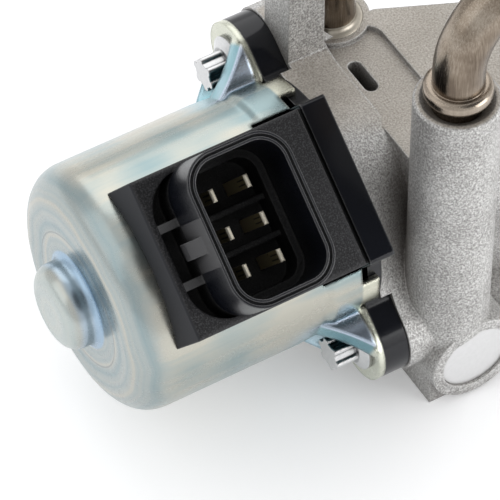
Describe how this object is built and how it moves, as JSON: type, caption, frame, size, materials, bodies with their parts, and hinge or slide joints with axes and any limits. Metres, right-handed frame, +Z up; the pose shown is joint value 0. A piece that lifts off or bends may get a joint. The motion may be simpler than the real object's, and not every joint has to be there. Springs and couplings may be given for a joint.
{
  "type": "exhaust gas recirculation valve",
  "caption": "Water-cooled exhaust gas recirculation valve: stepper motor with a side connector on a cast body with coolant pipes, a flanged gas inlet and a base outlet.",
  "frame": {"origin": "centre of the gas outlet in the flat base face", "axes": "+X along the valve stem away from the motor, +Z up from the base face, -Y the connector's side"},
  "size_m": [0.1293, 0.0704, 0.1007],
  "materials": {
    "zinc_can": "satin zinc plate with a faint passivated tint",
    "black_moulding": "glass-filled black moulding, fine spark-eroded grain",
    "terminal_brass": "tinned brass blades",
    "bolt_steel": "bright zinc plate",
    "yoke_steel": "pressed soft-iron sheet",
    "bobbin_resin": "glass-filled moulding",
    "copper_wire": "enamelled copper winding",
    "sintered_bronze": "oil-filled sintered bronze",
    "bearing_steel": "ground bearing steel",
    "seal_rubber": "heat-resistant elastomer",
    "spring_steel": "drawn spring wire and strip",
    "stainless": "turned stainless steel",
    "cast_aluminium": "grit-blasted die casting, dull and grainy",
    "pipe_steel": "drawn stainless tube, heat tinted at the braze",
    "plug_steel": "bright pressed disc",
    "magnet": "bonded ferrite",
    "turned_brass": "turned brass nut"
  },
  "bodies": {
    "housing": {"motor_can": "zinc_can", "connector_body": "black_moulding", "terminal_pins": "terminal_brass", "flange_bolts": "bolt_steel", "rear_stator_cup": "yoke_steel", "rear_pole_plate": "yoke_steel", "rear_bobbin": "bobbin_resin", "rear_winding": "copper_wire", "front_stator_cup": "yoke_steel", "front_pole_plate": "yoke_steel", "front_bobbin": "bobbin_resin", "front_winding": "copper_wire", "rear_bush": "sintered_bronze", "bearing_outer_race": "bearing_steel", "bearing_balls": "bearing_steel", "screw_guide": "bobbin_resin", "motor_seal": "seal_rubber", "valve_spring": "spring_steel", "stem_seal": "seal_rubber", "stem_bush": "sintered_bronze", "valve_seat": "stainless", "valve_housing": "cast_aluminium", "coolant_elbow": "pipe_steel", "coolant_pipe": "pipe_steel", "core_plug": "plug_steel"},
    "rotor": {"rotor_magnet": "magnet", "rotor_sleeve": "turned_brass", "bearing_inner_race": "bearing_steel"},
    "screw": {"lead_screw": "stainless"},
    "valve": {"valve_poppet": "stainless", "stem_clip": "spring_steel", "spring_cup": "yoke_steel"}
  },
  "joints": [
    {"name": "rotor_turn", "type": "hinge", "parent": "housing", "child": "rotor", "pos_m": [-0.05, 0, 0.032], "axis": [1, 0, 0], "range_deg": [0, 900]},
    {"name": "screw_slide", "type": "slide", "parent": "housing", "child": "screw", "axis": [1, 0, 0], "range_m": [0, 0.005]},
    {"name": "valve_lift", "type": "slide", "parent": "housing", "child": "valve", "axis": [1, 0, 0], "range_m": [0, 0.005], "deforming": ["valve_spring"]}
  ],
  "couplings": [
    {"joint": "screw_slide", "follows": "rotor_turn", "m_per_rad": 0.0003183},
    {"joint": "valve_lift", "follows": "rotor_turn", "m_per_rad": 0.0003183}
  ]
}
